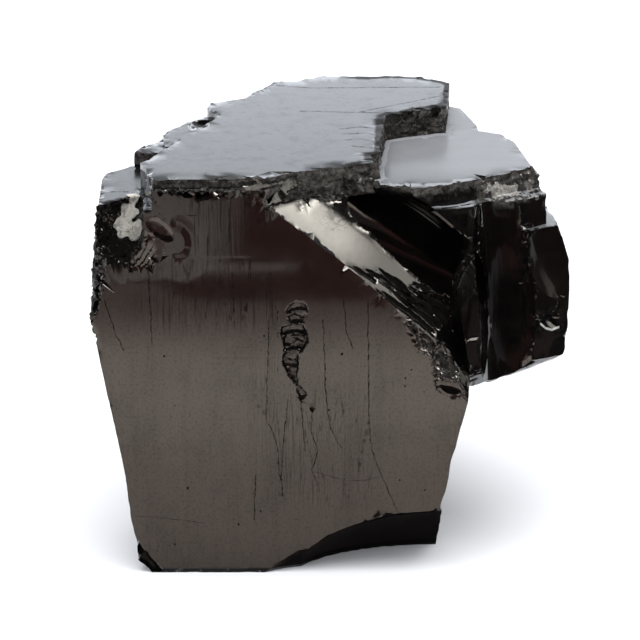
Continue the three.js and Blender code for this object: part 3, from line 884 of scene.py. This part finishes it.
def front_lines(spot):
    """All the dull lines of the front face. Its hairlines run up it and are thickest in three
    belts: under the top band, below the bites and in a narrow strip left of them."""
    board, x, z = spot.board, spot.x, spot.z
    fold = board.node("CombineXYZ", {}, {0: x + spot.waver * 0.35, 2: z * 0.035})
    below_bites = x.step(-9, -4.5) * x.step(8, 4) * z.step(6, 10) * z.step(25, 19)
    strip = x.step(-9.5, -6.5) * x.step(-4, -5) * z.step(13, 18) * z.step(34, 30)
    belts = spot.under_band.most(below_bites * 0.8).most(strip * 0.6)
    hairs = board.cells(fold, 1.15).step(0.035, 0.008) * spot.patchy
    thin = board.cells(fold, 2.9).step(0.06, 0) * (1 - spot.patchy * 0.5)
    dark = (spot.streaks.step(0.5, 0.66) * spot.under_band * 0.75).most(
        spot.streaks.step(0.5, 0.6) * spot.ribbed * 0.75)
    return front_cracks(spot).most(hairs * belts * 0.9).most(thin * belts * 0.75).most(dark)


def foot_edge_shade(spot):
    """Painted shade along the foot's lower edge: ragged along the front face, plain on the right,
    and a round spot at the cusp between them."""
    x, y, z = spot.x, spot.y, spot.z
    ragged = z.step(0.75, 0.35) * spot.patches(0.8, 3.0, 0.6, 0.3, 0.42)
    plain = z.step(0.9, 0.5) * y.step(12, 9) * x.step(-4, 0)
    cusp = ((x - 7.1) * (x - 7.1) + (z - 7.5) * (z - 7.5)) ** 0.5
    round_spot = cusp.step(1.7, 1.3) * y.step(3, 2)
    return (ragged * 0.9 * spot.front).most(plain.most(round_spot) * (1 - spot.front) * 0.95)


def slope_dirt_and_shade(spot):
    """Painted shade along the rims inside the slope, and the flecks of grime on its bright upper end."""
    board, x, y, z = spot.board, spot.x, spot.y, spot.z
    shaded_inner_rim = (spot.rim.step(0.15, 0.5) * x.step(2, 4) * x.step(17.5, 16.5)
                 * y.step(6, 8) * z.step(27, 29))
    slope = z.step(30, 36) * x.step(-1, 3.5) * y.step(5.2, 4.6) * y.step(0.8, 2.6)
    squat = board.stretched(spot.place, (1.0, 1.0, 1.6))
    flecks = board.cells(squat, 0.9).step(0.05, 0.01)
    clumps = spot.patches(2.2, 5.0, 0.75, 0.52, 0.62)
    return shaded_inner_rim.most(flecks.most(clumps) * slope * z.step(38.6, 40.6)) * 0.85


def top_wear(spot):
    """Scratches, specks and dust on the top bed and its ledges."""
    bent = spot.y + spot.waver * 0.9
    scratches = joined(line_mask(bent, spot.x, points, TOP_WIDTH) for points in TOP_MARKS)
    drawn = spot.board.stretched(spot.place, (0.8, 1.5, 1.0))
    specks = spot.patches(1.5, 5.0, 0.8, 0.57, 0.68, drawn)
    dust = spot.patches(0.5, 5.0, 0.7, 0.45, 0.75) * 0.18
    worn = scratches * (0.2 + spot.patchy * 0.5)
    return worn.most(specks * 0.4).most(dust) * spot.upward


def bite_shade(spot):
    """Patches of painted shade in the bites in the front face."""
    x, y, z = spot.x, spot.y, spot.z
    bites = (y.step(0.03, 0.14) * y.step(1, 0.8) * x.step(-4.9, -4.5) * x.step(-0.2, -0.5)
             * z.step(18.8, 19.4) * z.step(32.8, 32.3))
    return bites * spot.patches(1.3, 4.0, 0.7, 0.35, 0.6) * 0.7


def front_smear(spot):
    """The faint smears and fine specks that lie all over the front face."""
    smear = spot.patches(0.5, 4.0, 0.6, 0.45, 0.75, spot.upright) * 0.1
    smear = smear + spot.patches(0.16, 4.0, 0.6, 0.4, 0.75) * 0.16
    smear = smear + spot.patches(3.2, 4.0, 0.7, 0.47, 0.64) * 0.22
    smear = smear + spot.patches(5.0, 3.0, 0.6, 0.48, 0.7, spot.upright) * 0.08
    return smear * spot.front


def torn_ground(spot, corner):
    """How grey the torn ground is: broken beds on the left, and the wall of the left ledge."""
    x, y, z = spot.x, spot.y, spot.z
    wall = (x.step(-21.5, -20.5) * x.step(-17.4, -18.2) * y.step(14.5, 15.2)
            * y.step(17.5, 16.5) * z.step(42.5, 42.6))
    torn = (spot.broken.most(corner) * x.step(-19.6, -18.4)).most(wall * (1 - spot.upward))
    return torn * (0.15 + spot.patches(1.6, 5.0, 0.7, 0.36, 0.66) * 0.85)


def glass_tone(spot, torn, crust_mask):
    """The colour of the glossy stone and of the crusts on it."""
    board = spot.board
    base = board.colour(spot.cloud.step(0.4, 0.7), BLACK, WARM_BLACK)
    base = board.colour(torn, base, TORN_GREY)
    flake_edge = line_mask(spot.z, spot.x, FLAKE_EDGE, FLAKE_WIDTH)
    flake_edge = flake_edge * spot.y.step(4, 5) * spot.y.step(14, 13)
    base = board.colour(flake_edge * 0.8, base, FLAKE_BEIGE)
    crust_tone = board.colour(spot.fine.step(0.35, 0.65), CRUST_DARK, CRUST_PALE)
    return board.colour(crust_mask, base, crust_tone)


def fine_relief(spot, crust_mask):
    """The relief that is too fine for the mesh, worked out in millimetres."""
    board, fine, front, upward = spot.board, spot.fine, spot.front, spot.upward
    height = spot.streaks * front * (0.0008 + spot.ribbed * 0.0045 + spot.under_band * 0.0014)
    height = height + fine * (0.0003 + spot.broken * 0.01)
    height = height + board.speckle(spot.place, 0.9, 3.0, 0.5) * 0.004 * (1 - front) * (1 - upward)
    height = height + upward * board.speckle(spot.place, 1.6, 4.0, 0.6) * 0.0012
    height = height + crust_mask * (fine * 0.08 + board.cells(spot.place, 3.0, "F1") * 0.06)
    return board.node("Bump", {}, {"Strength": 1.0, "Distance": MM, "Height": height})


def shungite():
    """Black, glassy and faintly streaked, with dull cracks, pits and grime, and beige crusts; painted
    shade darkens its recesses, bites, broken corner, right-end hollow, slope rims and foot, and a
    painted reflection greys its ledge.
    """
    material, board = new_board("lustrous_shungite")
    spot = Spot(board)
    x, y, z, fine, upward = spot.x, spot.y, spot.z, spot.fine, spot.upward
    # the broken corner of the bed; the dished hollow in the right end, dark with painted shade; the coat
    # of dust on the ledge
    # the corner's dark veil is partly torn grey ground and partly painted shade
    corner = (x.step(-9.6, -8.6) * x.step(5.5, 3.5) * z.step(42.3, 42.7) * (1 - upward)
              * (1 - spot.front))
    scoop_shade = (x.step(22.9, 23.3) * y.step(7.5, 8.5) * y.step(16, 14) * z.step(27.8, 28.6)
             * z.step(41.5, 40.8) * (1 - upward))
    # the ledge's grey coat is partly dust and partly a painted reflection, standing in for the
    # backdrop's grey that the top bed mirrors
    dust_and_sheen = (upward * x.step(5.5, 6.5) * z.step(43.2, 42.8) * y.step(7, 16)
            * (0.75 + spot.cloud * 0.25) * 0.66)
    # the veil: dull marks and grime, with painted shade along the foot, in recesses and bites, at the
    # corner, slope rims and right-end hollow
    dull = (front_lines(spot) * spot.front).least(1.0).most(foot_edge_shade(spot))
    dull = dull.most(corner * (0.66 + fine * 0.5).least(0.94)).most(scoop_shade * 0.86)
    dull = dull.most(slope_dirt_and_shade(spot)).most(top_wear(spot)).most(bite_shade(spot))
    # painted shade in recesses, from the mesh's last mark
    dull = dull.most(board.mark("crevice_shade") * 0.92).most(spot.broken * (0.25 + fine * 0.5))
    veil = dull.most(front_smear(spot)).most(dust_and_sheen)

    torn = torn_ground(spot, corner)
    crust_mask = (spot.crust * (0.6 + fine * 0.8)).step(0.42, 0.66)
    gloss = 0.055 + spot.cloud.step(0.4, 0.8) * 0.03 + spot.rim * 0.04 + spot.broken * 0.08
    gloss = gloss + upward * (0.06 + z.step(43.2, 42.8) * 0.09)
    gloss = board.node("Mix", {"data_type": "FLOAT"}, {0: crust_mask, 2: gloss, 3: 0.65})
    glass = board.surface("BsdfPrincipled", {
        "Base Color": glass_tone(spot, torn, crust_mask), "Roughness": gloss, "IOR": STONE_IOR,
        "Normal": fine_relief(spot, crust_mask)})
    # the veil's tone: soot that is also painted shade, torn grey, the ledge's grey and the hollow's
    # painted shade
    dirt_and_shade_tone = board.colour(torn, SOOT_AND_SHADE, TORN_GREY)
    dirt_and_shade_tone = board.colour(dust_and_sheen.step(0, 0.05), dirt_and_shade_tone, DUST_AND_SHEEN)
    dirt_and_shade_tone = board.colour(scoop_shade, dirt_and_shade_tone, SCOOP_SHADE)
    dirt_and_shade = board.surface("BsdfPrincipled", {
        "Base Color": dirt_and_shade_tone, "Roughness": 0.5, "IOR": DIRT_AND_SHADE_IOR})
    board.finish(board.node("MixShader", {}, {0: veil, 1: glass, 2: dirt_and_shade}))
    return material


# ---- studio

PAPER = rgba(0.86, 0.865, 0.875)
FLOOR_RADIUS = 2.5  # m
# Tones of the dim room, as the stone mirrors them.
ROOM_BROWN, RIGHT_GREY = rgba(0.175, 0.078, 0.066), rgba(0.1, 0.075, 0.072)
# the tone under the stone is painted shadow
FAR_DARK, UNDER_STONE_SHADOW = rgba(0.02, 0.011, 0.01), rgba(0.03, 0.025, 0.025)
SHEET_RIM, SHEET_LEAF = rgba(1.6, 1.4, 1.26), rgba(0.7, 0.61, 0.55)
SHEET_TINT = rgba(0.87, 0.735, 0.62)
# Tones of what lies all round.
NIGHT, BACKDROP, LAMP = rgba(0.01, 0.007, 0.006), rgba(2.3, 2.43, 2.62), rgba(11.6, 11.0, 9.9)
LOW_BROWN, LOW_GREY = rgba(0.085, 0.04, 0.036), rgba(0.125, 0.115, 0.118)
SIDE_WHITE, AMBIENT, WHITE = rgba(1.0, 0.98, 0.96), rgba(0.96, 0.98, 1.03), rgba(1.0, 1.0, 1.0)
# The dim room's card, seen from above, in stone millimetres: [x, y], and its height.
ROOM_OUTLINE = [(-3000, -0.5), (-8, -0.5), (-8, 14), (46, 14), (46, 45), (3000, 45),
                (3000, -3000), (-3000, -3000)]
ROOM_HEIGHT = 0.3


def studio_sheet():
    """The pale floor: a wide plain disc."""
    material, board = new_board("pale_sheet")
    board.finish(board.surface("BsdfPrincipled", {
        "Base Color": PAPER, "Roughness": 0.9, "IOR": PAPER_IOR}))
    shape = bmesh.new()
    bmesh.ops.create_circle(shape, cap_ends=True, segments=64, radius=FLOOR_RADIUS)
    floor = add_item("studio_floor", mesh_from(shape, "studio_floor"))
    floor.data.materials.append(material)


def room_finish():
    """The sheet, clear but warm, and dimmed by painted shade near the stone and towards its far edge.
    Beyond it a brown room with the sheet's thin bright rim, a grey room on the right, then darkness.
    Painted shadow under the stone."""
    material, board = new_board("dim_room")
    place, (x, y, _) = stone_place(board)
    away = y * -1.0
    ragged = board.speckle(board.stretched(place, (0.9, 0.02, 1.0)), 1.0, 5.0, 0.7)
    left = x.step(-16.5, -26.0)
    edge = away - left * 11.0 + (ragged - 0.5) * (3.0 + x.step(5.0, -20.0) * 7.0)
    beyond = edge.step(84.0, 90.0)
    right = x.step(48.0, 62.0)
    # painted shade on the sheet: darker near the stone and towards its far edge
    near = away.step(52.0, 22.0) * 0.28
    far = away.step(62.0, 90.0) * 0.75
    # painted shadow on the sheet under the stone's overhang
    under = away.step(1.0, -1.0).most((((x + 0.5) * 2.1).least(13.5) - away).step(-0.6, 0.6))
    slant = away - x * 0.09
    line = (slant.step(101.9, 102.4) * slant.step(104.2, 103.6) * x.step(0.0, -6.0)
            * x.step(-23.5, -22.5))
    leaf = away.step(102.2, 102.8) * away.step(200.0, 120.0) * x.step(-12.6, -13.6)
    tone = board.colour(right, ROOM_BROWN, RIGHT_GREY)
    tone = board.colour(away.step(130.0, 210.0).most(x.step(110.0, 300.0)), tone, FAR_DARK)
    tone = board.colour(line * 0.85, tone, SHEET_RIM)
    tone = board.colour(leaf * 0.95, tone, SHEET_LEAF)
    tone = board.colour(under, tone, UNDER_STONE_SHADOW)
    glow = board.surface("Emission", {"Color": tone, "Strength": 1.0})
    clear = board.surface("BsdfTransparent", {"Color": SHEET_TINT})
    cover = beyond.most(right).most(near).most(far).most(under)
    board.finish(board.node("MixShader", {}, {0: cover, 1: clear, 2: glow}))
    return material


def dim_room():
    """A card just above the floor that only mirrors see: what the stone mirrors low down."""
    shape = bmesh.new()
    corners = [(Vector((across, back, ROOM_HEIGHT)) - STONE_ZERO) * MM
               for across, back in ROOM_OUTLINE]
    shape.faces.new([shape.verts.new(corner) for corner in corners])
    card = add_item("dim_room", mesh_from(shape, "dim_room"))
    card.data.materials.append(room_finish())
    card.visible_camera = card.visible_diffuse = card.visible_shadow = False
    card.visible_transmission = card.visible_volume_scatter = False


def studio_world():
    """White to the eye; what the stone mirrors is a bright backdrop, a side light and a dim room."""
    world = bpy.data.worlds.new("studio")
    world.use_nodes = True
    bpy.context.scene.world = world
    board = Board(world.node_tree)
    across, deep, up = board.split(board.node("TexCoord", out=0))
    backdrop = deep.step(0.05, 0.55) * (up.step(0.4, 0.22) * 0.82 + 0.18) * up.step(0.85, 0.6)
    tone = board.colour(backdrop * across.step(0.84, 0.52), NIGHT, BACKDROP)
    low = up.step(0.16, 0.0) * deep.step(0.3, -0.1)
    tone = board.colour(low, tone, board.colour(across.step(0.45, 0.8), LOW_BROWN, LOW_GREY))
    left = across.step(-0.45, -0.85) * up.step(0.8, 0.45) * deep.step(-0.58, -0.45)
    tone = board.colour(left * 0.5, tone, SIDE_WHITE)
    # the side light: a box-shaped lamp on the right, whose lower edge fades out slowly
    lamp = (deep.step(-0.24, -0.16) * deep.step(0.36, 0.2) * across.step(0.45, 0.62)
            * (up.step(0.56, 0.74) * 0.84 + up.step(0.05, 0.52) * 0.16))
    tone = board.colour(lamp, tone, LAMP)
    path = board.make("LightPath")
    seen = Field(board, path.outputs["Is Camera Ray"])
    mirrored = Field(board, path.outputs["Is Glossy Ray"])
    final = board.colour(seen, board.colour(mirrored, AMBIENT, tone), WHITE)
    glow = board.surface("Background", {"Color": final, "Strength": 1.0})
    board.finish(glow, "OutputWorld")


def soft_light(name, place, aim, size, power):
    """A round lamp that the stone doesn't mirror: place, aim and size in metres, power in watts."""
    lamp = bpy.data.lights.new(name, "AREA")
    lamp.shape, lamp.size, lamp.energy = "DISK", size, power
    holder = add_item(name, lamp)
    holder.location = place
    holder.rotation_mode = "QUATERNION"
    holder.rotation_quaternion = (Vector(aim) - Vector(place)).to_track_quat("-Z", "Y")
    holder.visible_glossy = False


CAMERA_TILT, CAMERA_DISTANCE, CAMERA_LENS = math.radians(20), 420.0, 217.35
CAMERA_AIM = Vector((0, 0, 29.9))  # the point it looks at, in stone millimetres


def camera():
    """Twenty degrees above level and 420 mm away, straight on to the front face."""
    look = Vector((0, math.cos(CAMERA_TILT), -math.sin(CAMERA_TILT)))
    eye = bpy.data.cameras.new("camera")
    eye.sensor_width = 36.0
    eye.lens = CAMERA_LENS
    eye.clip_start, eye.clip_end = 0.01, 20.0
    holder = add_item("camera", eye)
    holder.location = (CAMERA_AIM - look * CAMERA_DISTANCE - STONE_ZERO) * MM
    holder.rotation_mode = "QUATERNION"
    holder.rotation_quaternion = look.to_track_quat("-Z", "Y")
    bpy.context.scene.camera = holder


# ---- the scene

stone = add_item("shungite_stone", dress_surface())
stone.data.materials.append(shungite())
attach(stone, "root")
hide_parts(NODE)

studio_sheet()
dim_room()
studio_world()
soft_light("key_light", (0.03, -0.14, 0.76), (0, 0, 0.02), 0.75, 6.2)
camera()
bpy.context.scene.view_settings.view_transform = "Standard"
